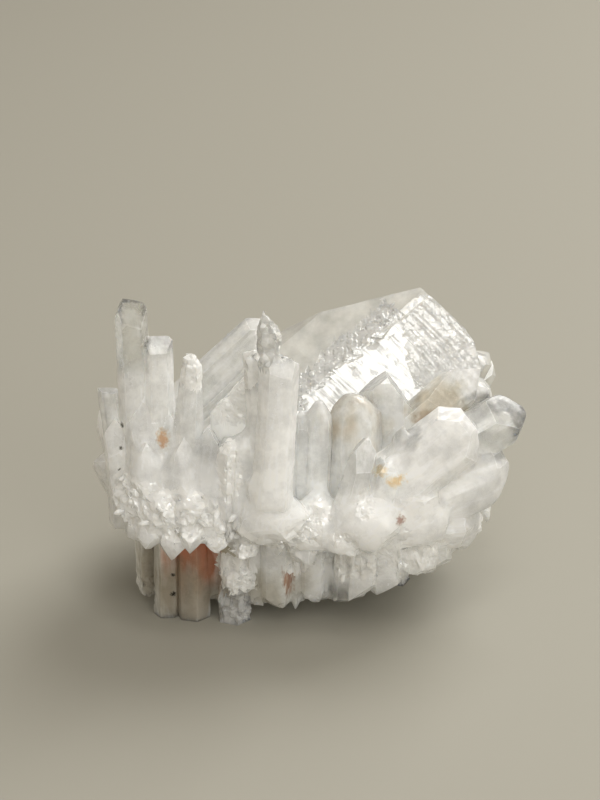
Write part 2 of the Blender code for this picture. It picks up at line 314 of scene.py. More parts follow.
SHAFTS = (
    # The tall clear pair at the left, and the crystals at its foot.
    Shaft((-46.5, -22, 30), (-47.5, -17, 93), 5.0, 0.8, 0.64, 0.76),
    Shaft((-40.5, -24, 34), (-40.5, -18, 83), 4.8, 0.65, 0.80, 0.98),
    Shaft((-45, -26, 30), (-44.5, -22, 66), 6.0),
    Shaft((-37, -26, 32), (-37.5, -23, 63), 6.5),
    Shaft((-51, -12, 33), (-55.5, -7, 63.5), 4.5, 0.5),
    Shaft((-44, -30, 31), (-43.5, -27.5, 57), 6.0),
    Shaft((-34, -30, 30), (-33, -27.5, 59), 6.5),
    Shaft((-34, -26, 42), (-31, -24.5, 80.5), 5.0, 0.4),
    # The tall milky one at the centre, the clear point above it, and its neighbours.
    Shaft((-10.6, -37.5, 43), (-8.2, -31, 85), 6.2, 0.25, 0.5, 1.0),
    Shaft((-10.5, -31, 72), (-11, -30.5, 96), 6.0, 0.85, 0.3, 0.55),
    Shaft((-14, -28, 60), (-15.5, -27, 83), 4.0, 0.6, 0.4, 0.7),
    Shaft((-45, -2, 45), (-11, 6, 76), 8.5, 0.45, 0.2, 0.4),
    Shaft((-18, -32, 35), (-17.3, -28.5, 60.5), 6.0, 0.1),
    Shaft((-27, -31, 31), (-27, -27.5, 61), 6.5, 0.3),
    # The blunt ones in front of the large crystal.
    Shaft((0.5, -27, 30), (2.4, -21, 66.5), 4.6, 0.3),
    Shaft((-2.5, -27, 32), (-2, -21, 64), 3.2, 0.3),
    Shaft((11, -24, 32), (11.5, -17, 66.5), 8.2, 0.38, 0.4, 0.9),
    Shaft((21, -15, 32), (20.5, -8, 67.5), 8.6, 0.46, 0.4, 0.9),
    Shaft((8, -35, 29), (15, -31, 60), 5.2, 0.45),
    Shaft((9.5, -32, 30), (8.5, -26, 6), 3.5, 0.7, 0.5, 0.8),
    Shaft((22, -29, 38), (24.5, -26, 61), 4.2, 0.45),
    # The ones that lean out to the right.
    Shaft((17, -15, 44), (46.5, -4.5, 67.5), 7.6, 0.2, 0.2, 0.7),
    Shaft((24, -19, 43), (58.5, -11, 59.5), 9.0, 0.72, 0.3, 0.8),
    Shaft((12, -31, 38), (43, -21.5, 60), 10.0, 0.15),
    Shaft((20, -24, 35), (53.5, -14, 45), 11.5),
    Shaft((18, -26, 30), (45.5, -18, 29), 10.5),
    # The large one, whose faces have finishes of their own.
    Shaft((-6, 0, 38), (40, 32, 67), 30.0, 0.0),
)

CRUSHED_ZONES = (
    # The skirt at the left, and the belt that goes on from it to the right.
    Zone((-46, -28, 40), (11, 11, 9)),
    Zone((-34, -33, 38), (13, 10, 8)),
    Zone((-20, -33, 33), (12, 9, 8)),
    Zone((-6, -34, 34), (12, 10, 7)),
    Zone((10, -32, 24), (16, 12, 9), 0.4, 0.8),
    Zone((27, -28, 24), (14, 12, 9), 0.4, 0.7),
    Zone((46, -14, 25), (6, 9, 10), 0.4, 0.8),
    # A column of grains under the skirt.
    Zone((-20, -26, 10), (8, 9, 13)),
    # The ragged ends of the columns.
    Zone((-45, -17, 6), (6, 7, 7)),
    Zone((-10, -25, 6), (6, 7, 6)),
    Zone((1, -24, 8), (7, 7, 6)),
    Zone((17, -25, 11), (8, 8, 7)),
    Zone((26, -23, 14), (9, 8, 7)),
    Zone((37, -15, 18), (7, 8, 7)),
)

# Where the faces have grown round and wavy.
SOFT_ZONES = (
    Zone((12, -38, 37), (15, 9, 10), 0.7),
    Zone((29, -31, 36), (14, 11, 11), 0.9),
    Zone((45, -20, 40), (14, 12, 12), 0.9),
    Zone((30, -28, 53), (15, 10, 10), 0.9),
    Zone((-10, -36, 60), (9, 8, 23), 0.4, 0.3),
    Zone((11.5, -19, 64), (9, 8, 9), 0.5),
    Zone((2.4, -22, 64), (6, 6, 9), 0.5),
    Zone((-17.5, -30, 64), (8, 6, 12), 0.5),
    Zone((-11.5, -37, 46), (9, 7, 9), 0.5),
    Zone((-42, -28, 48), (16, 9, 10), 0.7),
    Zone((-28, -31, 48), (12, 8, 10), 0.7),
    Zone((3, -33, 42), (9, 8, 9), 0.5),
    Zone((45, -16, 28), (10, 12, 10), 0.5),
    Zone((56, -11, 58), (11, 10, 11), 0.4, 0.3),
)

# Clear ends broken into small bright planes.
SHATTERED_ZONES = (
    Zone((-11, -30.5, 88), (7, 7, 11), 0.3),
    Zone((-21, -27, 5), (7, 7, 11), 0.5),
)

# Broken ends and fractures that glitter like crumpled foil.
FOIL_ZONES = (
    Zone((-19.5, -19.5, 65), (10, 5, 11), 0.3),
    Zone((-31, -24.5, 77), (5, 6, 8), 0.3),
    Zone((-16, -27.5, 79), (4, 5, 8), 0.3),
    Zone((-21.5, -34, 51), (4, 6, 12), 0.3),
    Zone((-20.5, -28, 17), (7, 7, 9), 0.3),
    Zone((-18, -34, 27), (7, 6, 5), 0.3),
    Zone((-3.5, -33, 22), (4, 7, 8), 0.3),
    Zone((11, -33.5, 22), (8, 6, 5), 0.3),
    Zone((28, -32, 25), (8, 7, 5), 0.3),
    Zone((2, -35.5, 40), (5, 5, 4), 0.3),
    Zone((9, -38.5, 33), (5, 4, 3), 0.3),
    Zone((22, -37.5, 33), (6, 4, 4), 0.3),
    Zone((14, -37.5, 43.5), (3, 4, 5), 0.3),
)

# Milky parts that stand in front of clear ones.
VEILED_ZONES = (Zone((-19.5, -20, 62), (9, 6, 14), 0.2),)


@dataclass
class Crystals:
    """The grown-together crystals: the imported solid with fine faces, worn edges and crushed belts.

    The edge lengths and the heights of the relief are in mm. Wear and nicks are shares of an edge.
    A facing is the cosine of a face's turn away from the front of the large crystal.
    """

    face_edge: float = 1.5
    back_edge: float = 2.3
    back_from: float = 2.0
    crushed_edge: float = 0.85
    ridged_edge: float = 0.6
    sharp_angle: float = math.radians(14)
    wear: float = 0.10
    nicks: float = 0.45
    wave: float = 0.16
    crush: float = 0.48
    crumple: float = 0.24
    ridges: float = 0.24
    shatter: float = 0.9
    grain: float = 2.2
    soft_rounds: int = 9
    druzy_facing: float = 0.55
    clear_facing: float = 0.9
    mirror_facing: float = 0.98
    large: LargeCrystal = LargeCrystal()

    def build(self, source: bpy.types.Object) -> bpy.types.Object:
        """Makes the finished mesh.

        Args:
            source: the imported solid.

        Returns:
            A new object at the origin.
        """
        bm = bmesh.new()
        bm.from_mesh(source.data)
        bmesh.ops.remove_doubles(bm, verts=bm.verts, dist=2e-6)
        for edge in bm.edges:
            edge.smooth = edge.calc_face_angle(0.0) < self.sharp_angle
        self._divide(bm)
        self._note_places(bm)
        self._wear(bm)
        self._soften(bm)
        self._roughen(bm)
        self._finish(bm)
        return add_object("crystals", make_mesh("crystals", bm))

    @staticmethod
    def places(bm: bmesh.types.BMesh) -> np.ndarray:
        """The places of all vertices, in mm."""
        return np.array([v.co for v in bm.verts]) / MM + MIDDLE

    def crushed(self, points: np.ndarray) -> np.ndarray:
        """Tells how crushed the surface is: in belts, and in patches at the back.

        Args:
            points: places in mm.

        Returns:
            For each point, from 0 where it is whole to 1 where it is crushed.
        """
        belts = self.strongest(CRUSHED_ZONES, points)
        # Patches about 9 mm wide, low at the back.
        patches = np.array([noise.noise(Vector(p) / 9) for p in points])
        low = 1 - smooth_step(36, 46, points[:, 2])
        behind = smooth_step(-14, 0, points[:, 1])
        return np.maximum(belts, 0.8 * smooth_step(0.12, 0.3, patches) * low * behind)

    @staticmethod
    def strongest(zones: tuple[Zone, ...], points: np.ndarray) -> np.ndarray:
        """The strongest weight of some zones at places in mm."""
        return np.max([zone.weights(points) for zone in zones], axis=0)

    def _divide(self, bm: bmesh.types.BMesh) -> None:
        """Halves long edges until each is as short as its place asks.

        Args:
            bm: the crystals' mesh.
        """
        for _ in range(8):
            ends = np.array([[v.co for v in e.verts] for e in bm.edges]) / MM + MIDDLE
            middles = ends.mean(axis=1)
            band, end = self.large.rough(middles)
            fine = np.maximum(self.crushed(middles), self.strongest(FOIL_ZONES, middles))
            plain = np.where(middles[:, 1] > self.back_from, self.back_edge, self.face_edge)
            limit = plain + (self.crushed_edge - plain) * fine
            limit[band | end] = self.ridged_edge
            # An edge a little over its limit stays, because its halves would be far under it.
            too_long = np.linalg.norm(ends[:, 0] - ends[:, 1], axis=1) > limit * 1.35
            if not too_long.any():
                break
            chosen = [e for e, long_one in zip(bm.edges, too_long) if long_one]
            bmesh.ops.subdivide_edges(bm, edges=chosen, cuts=1)
            bmesh.ops.triangulate(bm, faces=[f for f in bm.faces if len(f.verts) > 3])

    def _note_places(self, bm: bmesh.types.BMesh) -> None:
        """Writes down, at each vertex, how crushed and clear it is and how its grain runs.

        Args:
            bm: the crystals' mesh.
        """
        points = self.places(bm)
        crushed = self.crushed(points)
        clear = np.max([shaft.clear(points) for shaft in SHAFTS], axis=0) * (1 - crushed)
        veiled = self.strongest(VEILED_ZONES, points)
        # Below zero, so that the clear patches of the clouds don't open there.
        clear = clear * (1 - veiled) - 0.25 * veiled
        offs = np.array([shaft.reach(points)[1] for shaft in SHAFTS])
        nearest = np.where(offs.min(axis=0) < 1.4, offs.argmin(axis=0), -1)
        axes = np.array([*(shaft.along for shaft in SHAFTS), (0, 0, 1)])[nearest]
        # Squeezed to a seventh along the crystal, and set apart from its neighbours' grain.
        lengthwise = (axes * points).sum(axis=1)[:, None] * axes
        grain = points - lengthwise * 6 / 7 + 31.0 * nearest[:, None]
        # Nothing is strewn low down, where it would go into the table, and little at the right.
        chipped = crushed * smooth_step(9, 16, points[:, 2])
        chipped *= 1 - 0.8 * smooth_step(-5, 10, points[:, 0])
        band, _end = self.large.rough(points)
        floats, vectors = bm.verts.layers.float, bm.verts.layers.float_vector
        names = ("crushed", "clarity", "edge", "chipped", "druzy")
        crushed_layer, clear_layer, edge_layer, chipped_layer, druzy_layer = map(floats.new, names)
        grain_layer = vectors.new("grain")
        for i, vert in enumerate(bm.verts):
            vert[crushed_layer] = crushed[i]
            vert[clear_layer] = clear[i]
            vert[grain_layer] = Vector(grain[i]) * MM
            vert[chipped_layer] = chipped[i]
            vert[druzy_layer] = float(band[i])
            ridged = (not e.smooth and e.calc_face_angle_signed(0.0) > 0 for e in vert.link_edges)
            vert[edge_layer] = float(any(ridged))

    def _wear(self, bm: bmesh.types.BMesh) -> None:
        """Draws the crystals' edges in a little, and nicks them here and there.

        Args:
            bm: the crystals' mesh.
        """
        moved = {}
        for vert in {v for e in bm.edges if not e.smooth for v in e.verts}:
            if vert.co.z < CUT_FEET * MM:
                continue
            nick = max(0.0, noise.noise(vert.co / (2.5 * MM)) - 0.2) / 0.8
            moved[vert] = vert.co.lerp(amid_neighbours(vert), self.wear + self.nicks * nick)
        for vert, drawn_in in moved.items():
            vert.co = drawn_in

    def _soften(self, bm: bmesh.types.BMesh) -> None:
        """Rounds the parts that have grown round.

        Args:
            bm: the crystals' mesh.
        """
        weights = self.strongest(SOFT_ZONES, self.places(bm))
        chosen = [(v, w) for v, w in zip(bm.verts, weights) if w > 0.02 and v.co.z > CUT_FEET * MM]
        for _ in range(self.soft_rounds):
            moved = [v.co.lerp(amid_neighbours(v), 0.6 * w) for v, w in chosen]
            for (vert, _weight), rounded_off in zip(chosen, moved):
                vert.co = rounded_off
        edge_layer = bm.verts.layers.float["edge"]
        rounded = {v for v, w in chosen if w > 0.35}
        for vert in rounded:
            vert[edge_layer] = 0.0
            for edge in vert.link_edges:
                edge.smooth = edge.smooth or edge.other_vert(vert) in rounded

    def _roughen(self, bm: bmesh.types.BMesh) -> None:
        """Adds slow waves to the crystal faces and sharp chips to the crushed belts.

        Args:
            bm: the crystals' mesh.
        """
        bm.normal_update()
        crushed_layer = bm.verts.layers.float["crushed"]
        clear_layer = bm.verts.layers.float["clarity"]
        for vert in bm.verts:
            if vert.co.z < CUT_FEET * MM:
                continue
            amount = vert[crushed_layer]
            # Waves 6 and 2.6 mm long, chips 1.7 mm wide, and creases about 3.4 mm apart.
            wave = noise.noise(vert.co / (6 * MM)) + 0.5 * noise.noise(vert.co / (2.6 * MM))
            wave *= self.wave * (1 - amount) * (1 - 0.8 * vert[clear_layer])
            chips = noise.cell(vert.co / (1.7 * MM)) - 0.5 + 0.9 * noise.noise(vert.co / (2.6 * MM))
            crease = 0.35 - abs(noise.noise(vert.co / (3.4 * MM)))
            vert.co += vert.normal * MM * (wave + self.crush * (chips + 1.3 * crease) * amount)
        self._ridge(bm)

    def _ridge(self, bm: bmesh.types.BMesh) -> None:
        """Crumples the glittering parts, and ridges the end of the large crystal's front face.

        Args:
            bm: the crystals' mesh.
        """
        large = self.large
        points = self.places(bm)
        front = large.front
        foil = self.strongest(FOIL_ZONES, points)
        shattered = self.strongest(SHATTERED_ZONES, points)
        for vert, weight in zip(bm.verts, shattered):
            if weight > 0 and vert.co.z > CUT_FEET * MM:
                lift = noise.cell(vert.co / (self.grain * MM)) - 0.5
                vert.co += vert.normal * MM * self.shatter * weight * lift
        for vert, point, band, end, glitter in zip(bm.verts, points, *large.rough(points), foil):
            if glitter > 0 and vert.co.z > CUT_FEET * MM:
                lift = noise.cell(Vector(point) / 1.5) - 0.5 + noise.noise(Vector(point) / 2.5)
                vert.co += vert.normal * MM * self.crumple * glitter * lift
            if not (band or end) or vert.normal.dot(front) < 0.8:
                continue
            across, along, _out = large.local(point[None])[0]
            if band:
                lift = self.crumple * (noise.cell(Vector(point) / 1.3) - 0.8)
            else:
                ridge = noise.noise(Vector((across * 0.07, along * 0.7, 0)))
                flecks = noise.cell(Vector(point) / 1.6) - 0.5
                lift = self.ridges * (ridge - 0.4) + 0.2 * self.crumple * flecks
            vert.co += front * MM * lift

    def _finish(self, bm: bmesh.types.BMesh) -> None:
        """Shades the faces and gives each its material slot.

        Args:
            bm: the crystals' mesh.
        """
        crushed_layer = bm.verts.layers.float["crushed"]
        large = self.large
        faces = list(bm.faces)
        bm.normal_update()
        centres = np.array([f.calc_center_median() for f in faces]) / MM + MIDDLE
        middles = large.local(centres)
        rough = np.logical_or(*large.rough(centres))
        # The patches' borders follow the grains.
        grains = np.array([noise.cell(Vector(c) / self.grain) - 0.5 for c in centres])
        foil = self.strongest(FOIL_ZONES, centres) + 0.4 * grains
        shattered = self.strongest(SHATTERED_ZONES, centres) + 0.5 * grains
        facing = np.array([f.normal for f in faces]) @ np.array(large.front)
        inside = (np.abs(middles[:, 0]) < large.half_width) & (middles[:, 1] > 2)
        inside &= np.abs(middles[:, 2]) < large.half_depth + 1
        for face, centre, middle, look, within, crumpled, glitter, shattering in zip(
            faces, centres, middles, facing, inside, rough, foil, shattered
        ):
            whole = max(v[crushed_layer] for v in face.verts) < 0.25
            on_front = middle[0] > large.fold_at - 0.5 and middle[2] > large.half_depth - 1.5
            finish = Finish.MILKY
            if shattering > 0.3:
                finish = Finish.DRUZY
            elif glitter > 0.3 or not whole and centre[2] > 27:
                finish = Finish.FOIL
            elif within and crumpled and look > self.druzy_facing:
                finish = Finish.DRUZY
            elif within and look > self.mirror_facing and on_front:
                finish = Finish.MIRROR
            elif within and look > self.clear_facing and middle[2] > 6:
                finish = Finish.CLEAR
            elif within and abs(look) < self.clear_facing and middle[1] > 20:
                finish = Finish.CLEAR
            face.material_index = finish.value
            # Faces that sparkle or mirror keep their hard edges.
            face.smooth = whole and finish in (Finish.MILKY, Finish.CLEAR)


# ------------------------------------------------------------------ small grown and broken pieces


@dataclass(frozen=True)
class Scatter:
    """Small crystals or chips strewn over the parts of a surface that an attribute picks out.

    Sizes are in mm, and the tilt is in radians. Stretch is the size along the surface normal over
    that across it.
    """

    name: str
    where: str
    spacing: float
    smallest: float
    largest: float
    tilt: float
    stretch: float
    shape: Shape
    seed: int

    def shapes(self, collection: bpy.types.Collection) -> None:
        """Adds the shapes that are strewn: each about one unit across, about its origin.

        Args:
            collection: the collection that gets them.
        """
        rng = random.Random(self.seed)
        for i in range(6):
            bm = bmesh.new()
            for corner in self._corners(rng):
                bm.verts.new(corner)
            hull = bmesh.ops.convex_hull(bm, input=bm.verts)
            inner = {g for g in hull["geom_interior"] if isinstance(g, bmesh.types.BMVert)}
            bmesh.ops.delete(bm, geom=list(inner), context="VERTS")
            bmesh.ops.recalc_face_normals(bm, faces=bm.faces)
            mesh = make_mesh(f"{self.name}_{i}", bm)
            collection.objects.link(bpy.data.objects.new(mesh.name, mesh))

    def _corners(self, rng: random.Random) -> list[Vector]:
        """Places the corners of one shape, before they are joined by a convex hull.

        Args:
            rng: the source of the random draws.

        Returns:
            The corners, about the origin.
        """
        if self.shape is Shape.CHIP:
            return [
                Vector([rng.gauss(0, 1) for _ in range(3)]).normalized() * rng.uniform(0.35, 0.6)
                for _ in range(9)
            ]
        # Two rings of six corners, each at a height and with a radius.
        rings = ((-0.3, 0.5), (0.25, 0.42))
        if self.shape is Shape.POINT:
            rings = ((-0.2, 0.5), (0.8, 0.46))
        corners = []
        for height, radius in rings:
            for k in range(6):
                angle = math.radians(60 * k + rng.uniform(-12, 12))
                reach = radius * rng.uniform(0.8, 1.1)
                corners.append(Vector((reach * math.cos(angle), reach * math.sin(angle), height)))
        if self.shape is Shape.POINT:
            corners.append(Vector((rng.uniform(-0.1, 0.1), rng.uniform(-0.1, 0.1), 1.25)))
        return corners

    def tree(self) -> bpy.types.NodeTree:
        """Builds the Geometry Nodes tree, with its sizes as named inputs.

        Returns:
            A tree that strews the shapes, most of them small, over the parts that the attribute
            picks out, each turned at random about the surface normal and tilted a little.
        """
        tree = bpy.data.node_groups.new(self.name, "GeometryNodeTree")
        kinds = {"Geometry": "Geometry", "Shapes": "Collection", "Material": "Material"}
        sizes = dict.fromkeys(("Spacing", "Smallest", "Largest", "Tilt", "Stretch"), "Float")
        for label, kind in (kinds | sizes).items():
            tree.interface.new_socket(label, in_out="INPUT", socket_type=f"NodeSocket{kind}")
        tree.interface.new_socket("Geometry", in_out="OUTPUT", socket_type="NodeSocketGeometry")
        given = add_node(tree, "NodeGroupInput").outputs
        where = add_node(
            tree, "GeometryNodeInputNamedAttribute", {"Name": self.where}, data_type="FLOAT"
        )
        spread = add_node(
            tree,
            "GeometryNodeDistributePointsOnFaces",
            {
                "Mesh": given["Geometry"],
                "Distance Min": given["Spacing"],
                "Density Max": 1.2 / (self.spacing * MM) ** 2,
                "Density Factor": where.outputs["Attribute"],
                "Seed": self.seed,
            },
            distribute_method="POISSON",
        )
        shapes = add_node(
            tree,
            "GeometryNodeCollectionInfo",
            {"Collection": given["Shapes"], "Separate Children": True, "Reset Children": True},
        )
        tilt = given["Tilt"]
        back = add_node(tree, "ShaderNodeMath", (tilt, -1.0), operation="MULTIPLY").outputs[0]
        low = add_node(tree, "ShaderNodeCombineXYZ", (back, back, -math.pi))
        high = add_node(tree, "ShaderNodeCombineXYZ", (tilt, tilt, math.pi))
        lean = add_node(
            tree,
            "FunctionNodeRandomValue",
            {"Min": low.outputs[0], "Max": high.outputs[0], "Seed": self.seed + 1},
            data_type="FLOAT_VECTOR",
        )
        turn = add_node(tree, "FunctionNodeEulerToRotation", {"Euler": lean.outputs["Value"]})
        turned = add_node(
            tree,
            "FunctionNodeRotateRotation",
            {"Rotation": spread.outputs["Rotation"], "Rotate By": turn.outputs["Rotation"]},
            rotation_space="LOCAL",
        )
        draw = add_node(tree, "FunctionNodeRandomValue", {"Seed": self.seed + 2}, data_type="FLOAT")
        # A power above one makes small pieces common and large ones rare.
        uneven = add_node(tree, "ShaderNodeMath", (draw.outputs[1], 2.2), operation="POWER")
        size = add_node(
            tree,
            "ShaderNodeMapRange",
            {"Value": uneven.outputs[0], "To Min": given["Smallest"], "To Max": given["Largest"]},
        ).outputs[0]
        tall = add_node(tree, "ShaderNodeMath", (size, given["Stretch"]), operation="MULTIPLY")
        scale = add_node(tree, "ShaderNodeCombineXYZ", (size, size, tall.outputs[0]))
        strewn = add_node(
            tree,
            "GeometryNodeInstanceOnPoints",
            {
                "Points": spread.outputs["Points"],
                "Instance": shapes.outputs["Instances"],
                "Pick Instance": True,
                "Rotation": turned.outputs["Rotation"],
                "Scale": scale.outputs[0],
            },
        )
        real = add_node(tree, "GeometryNodeRealizeInstances", (strewn.outputs["Instances"],))
        dressed = add_node(
            tree,
            "GeometryNodeSetMaterial",
            {"Geometry": real.outputs["Geometry"], "Material": given["Material"]},
        )
        add_node(tree, "NodeGroupOutput", {"Geometry": dressed.outputs["Geometry"]})
        return tree

    def build(self, ground: bpy.types.Object, material: bpy.types.Material) -> bpy.types.Object:
        """Strews the shapes over a surface.

        Args:
            ground: the object whose surface and attributes are used.
            material: the finish of the small pieces.

        Returns:
            A plain mesh object at the origin.
        """
        shapes = bpy.data.collections.new(f"{self.name}_shapes")
        self.shapes(shapes)
        tree = self.tree()
        obj = add_object(self.name, ground.data.copy())
        modifier = obj.modifiers.new(self.name, "NODES")
        modifier.node_group = tree
        values = {
            "Shapes": shapes,
            "Spacing": self.spacing * MM,
            "Smallest": self.smallest * MM,
            "Largest": self.largest * MM,
            "Tilt": self.tilt,
            "Stretch": self.stretch,
            "Material": material,
        }
        for item in tree.interface.items_tree:
            if item.in_out == "INPUT" and item.name in values:
                modifier[item.identifier] = values[item.name]
        bpy.context.view_layer.update()
        graph = bpy.context.evaluated_depsgraph_get()
        mesh = bpy.data.meshes.new_from_object(obj.evaluated_get(graph))
        mesh.name = self.name
        obj.modifiers.remove(modifier)
        obj.data = mesh
        for shape in list(shapes.objects):
            bpy.data.objects.remove(shape)
        bpy.data.collections.remove(shapes)
        return obj


# ------------------------------------------------------------------ finishes


@dataclass(frozen=True)
class StainOrShade:
    """A patch of iron or clay colour in the quartz, or of painted shade. Its centre and radii are in
    mm.
    """

    centre: Triple
    radii: Triple
    colour: str
    strength: float
    streak: float = 1.0

    def mask(self, tree: bpy.types.NodeTree, coords: Socket) -> Socket:
        """Adds the nodes of a ragged patch.

        Args:
            tree: the material's node tree.
            coords: the place on the cluster.

        Returns:
            The patch's strength: full at its centre and nothing past its radii.
        """
        centre = tuple((c - m) * MM for c, m in zip(self.centre, MIDDLE))
        radii = tuple(r * MM for r in self.radii)
        off = add_node(tree, "ShaderNodeVectorMath", (coords, centre), operation="SUBTRACT")
        share = add_node(
            tree, "ShaderNodeVectorMath", (off.outputs[0], radii), operation="DIVIDE"
        )
        reach = add_node(tree, "ShaderNodeVectorMath", (share.outputs[0],), operation="LENGTH")
        drawn_out = {"Vector": coords, "Scale": (1, 1, 1 / self.streak)}
        grain = add_node(tree, "ShaderNodeMapping", drawn_out)
        # Ragged at about a third of the patch's width.
        ragged = add_node(
            tree,
            "ShaderNodeTexNoise",
            {"Vector": grain.outputs[0], "Scale": 3 / (self.radii[0] * MM), "Detail": 4.0},
        )
        edge = add_node(
            tree,
            "ShaderNodeMath",
            (ragged.outputs[0], 1.6, reach.outputs["Value"]),
            operation="MULTIPLY_ADD",
        ).outputs[0]
        fade = (edge, 1.15, 1.75, self.strength, 0.0)
        return add_node(tree, "ShaderNodeMapRange", fade).outputs[0]


@dataclass(frozen=True)
class RockCrystal:
    """What all the finishes share: glassy quartz, with haze in its body.

    Haze is the share of light that scatters inside, and haze depth is how far it travels, in mm.
    Patterns, such as clouds and spots, are given by how many of them there are in a millimetre.
    """

    name: str
    body: str
    roughness: float
    haze: float
    haze_depth: float
    shine: float = 0.5

    def start(self) -> tuple[bpy.types.Material, bpy.types.Node, Socket]:
        """Starts the material.

        Returns:
            The material, its shader, and the place on the cluster.
        """
        material = bpy.data.materials.new(self.name)
        material.use_nodes = True
        shader = material.node_tree.nodes["Principled BSDF"]
        even = {
            "Base Color": linear(self.body),
            "Roughness": self.roughness,
            "IOR": QUARTZ_IOR,
            "Specular IOR Level": self.shine,
            "Subsurface Weight": self.haze,
            "Subsurface Radius": HAZE_REACH,
            "Subsurface Scale": self.haze_depth * MM,
        }
        for socket, value in even.items():
            shader.inputs[socket].default_value = value
        coords = add_node(material.node_tree, "ShaderNodeTexCoord").outputs["Object"]
        return material, shader, coords


@dataclass(frozen=True)
class MilkyQuartz(RockCrystal):
    """Milky quartz, grown from hot water: glassy faces over a body clouded by tiny bubbles.

    The clouds scatter light deep in the body, and its fractures show as white veins.
    """

    name: str = "rock_crystal_milky"
    body: str = "#fbfcf9"
    roughness: float = 0.11
    haze: float = 1.0
    haze_depth: float = 14.0
    vein: str = "#f9fbff"
    clouds: float = 0.14
    veils: float = 0.48
    hillocks: float = 0.33
    fractures: float = 0.26
    cracks: float = 0.15
    bump: float = 0.25
    stains_and_shade: tuple[StainOrShade, ...] = (
        # Partly real staining and partly painted shade under the overhanging skirt: a grey-brown
        # patch low on the columns.
        StainOrShade((-13, -27, 12), (22, 9, 12), "#a39a88", 0.6, 3.0),
        StainOrShade((-31.5, -25.8, 21), (11.5, 9, 15), "#b8714c", 0.95, 6.0),
        # Two more grey-brown patches low on the columns, partly real staining and partly painted
        # shade under the skirt.
        StainOrShade((-34, -25, 7), (15, 9, 20), "#8f8472", 0.85, 5.0),
        StainOrShade((-44, -20, 14), (9, 9, 22), "#948b7a", 0.8, 5.0),
        StainOrShade((-6.0, -30.5, 17), (2.4, 5, 9), "#96684a", 0.9, 4.0),
        StainOrShade((-22, -31, 26), (6, 6, 6), "#8f8257", 0.6),
        StainOrShade((-39.4, -25.8, 56.8), (2.2, 3, 3.6), "#cf9a5c", 0.7),
        StainOrShade((18.0, -33.1, 51.1), (2.8, 3, 2.2), "#e6c07a", 0.6),
        StainOrShade((22.5, -34, 48.1), (3.4, 3, 2.2), "#e6bd70", 0.65),
        StainOrShade((23.4, -36.5, 38), (1.9, 3, 1.7), "#98604a", 0.7),
        StainOrShade((31.6, -15.1, 58), (6, 4, 4), "#ab8f6c", 0.7),
        StainOrShade((34, -12, 62), (13, 8, 9), "#d2c8b6", 0.85),
        StainOrShade((11.5, -19, 58), (12, 9, 14), "#d2c5b5", 0.75, 2.0),
        # Specks of dark clay.
        StainOrShade((-50.5, -21.4, 58.6), (1.1, 1.1, 1.1), "#2a2622", 1.0),
        StainOrShade((-50.9, -23.3, 52.7), (0.7, 0.7, 0.7), "#3a352f", 0.9),
        StainOrShade((-51.3, -24.2, 46.6), (0.7, 0.7, 0.7), "#3a352f", 0.9),
        StainOrShade((-37.9, -25.3, 14.7), (0.8, 0.8, 0.8), "#2a2622", 0.9),
        StainOrShade((-38.1, -24.6, 8.3), (1.1, 1.1, 1.1), "#2a2622", 1.0),
    )

    def material(self) -> bpy.types.Material:
        """Builds the material.

        Returns:
            The new material.
        """
        material, shader, coords = self.start()
        tree = material.node_tree
        crushed, clarity, edge = (
            add_node(tree, "ShaderNodeAttribute", attribute_name=name).outputs["Fac"]
            for name in ("crushed", "clarity", "edge")
        )
        grain = add_node(tree, "ShaderNodeAttribute", attribute_name="grain").outputs["Vector"]
        # Clouds about 7 mm across, white veils about 2 mm wide and 14 mm long that run with each
        # crystal, and hillocks about 3 mm wide.
        cloud, streak, hillock = (
            add_node(
                tree,
                "ShaderNodeTexNoise",
                {"Vector": at, "Scale": count / MM, "Detail": detail, "Roughness": ragged},
            ).outputs[0]
            for at, count, detail, ragged in (
                (coords, self.clouds, 5.0, 0.65),
                (grain, self.veils, 4.0, 0.6),
                (coords, self.hillocks, 4.0, 0.6),
            )
        )
        # A range has its value first, then the span it comes in and the span it goes to.
        base = add_node(tree, "ShaderNodeMapRange", (cloud, 0.42, 0.62, 0.0, 0.22)).outputs[0]
        veil = add_node(tree, "ShaderNodeMapRange", (streak, 0.52, 0.66, 0.0, 1.0)).outputs[0]
        # Fracture planes about 4 mm apart, where the surface is crushed.
        cells = add_node(
            tree,
            "ShaderNodeTexVoronoi",
            {"Vector": coords, "Scale": self.fractures / MM, "Detail": 1.0},
            feature="DISTANCE_TO_EDGE",
        ).outputs["Distance"]
        vein = add_node(tree, "ShaderNodeMapRange", (cells, 0.0, 0.06, 1.0, 0.0)).outputs[0]
        faint = add_node(tree, "ShaderNodeMath", (vein, 0.35), operation="MULTIPLY").outputs[0]
        veined = add_node(tree, "ShaderNodeMath", (faint, crushed), operation="MULTIPLY").outputs[0]
        # Bruised edges about half a millimetre wide, here and there.
        bruise = add_node(
            tree, "ShaderNodeMath", (streak, 0.5, edge), operation="MULTIPLY_ADD"
        ).outputs[0]
        bruised = add_node(tree, "ShaderNodeMapRange", (bruise, 1.08, 1.3, 0.0, 0.8)).outputs[0]
        # Healed cracks, a tenth of a millimetre wide or finer, that bend with the clouds, here and
        # there.
        bent = add_node(
            tree, "ShaderNodeVectorMath", (grain, cloud, (0.004,) * 3), operation="MULTIPLY_ADD"
        ).outputs[0]
        crack = add_node(
            tree,
            "ShaderNodeTexVoronoi",
            {"Vector": bent, "Scale": self.cracks / MM},
            feature="DISTANCE_TO_EDGE",
        ).outputs["Distance"]
        thin = add_node(tree, "ShaderNodeMapRange", (crack, 0.0, 0.02, 1.0, 0.0)).outputs[0]
        there = add_node(tree, "ShaderNodeMapRange", (cloud, 0.5, 0.6)).outputs[0]
        cracked = add_node(tree, "ShaderNodeMath", (thin, there), operation="MULTIPLY").outputs[0]
        pale = add_node(tree, "ShaderNodeMath", (veined, bruised), operation="MAXIMUM").outputs[0]
        white = add_node(tree, "ShaderNodeMath", (pale, cracked), operation="MAXIMUM").outputs[0]
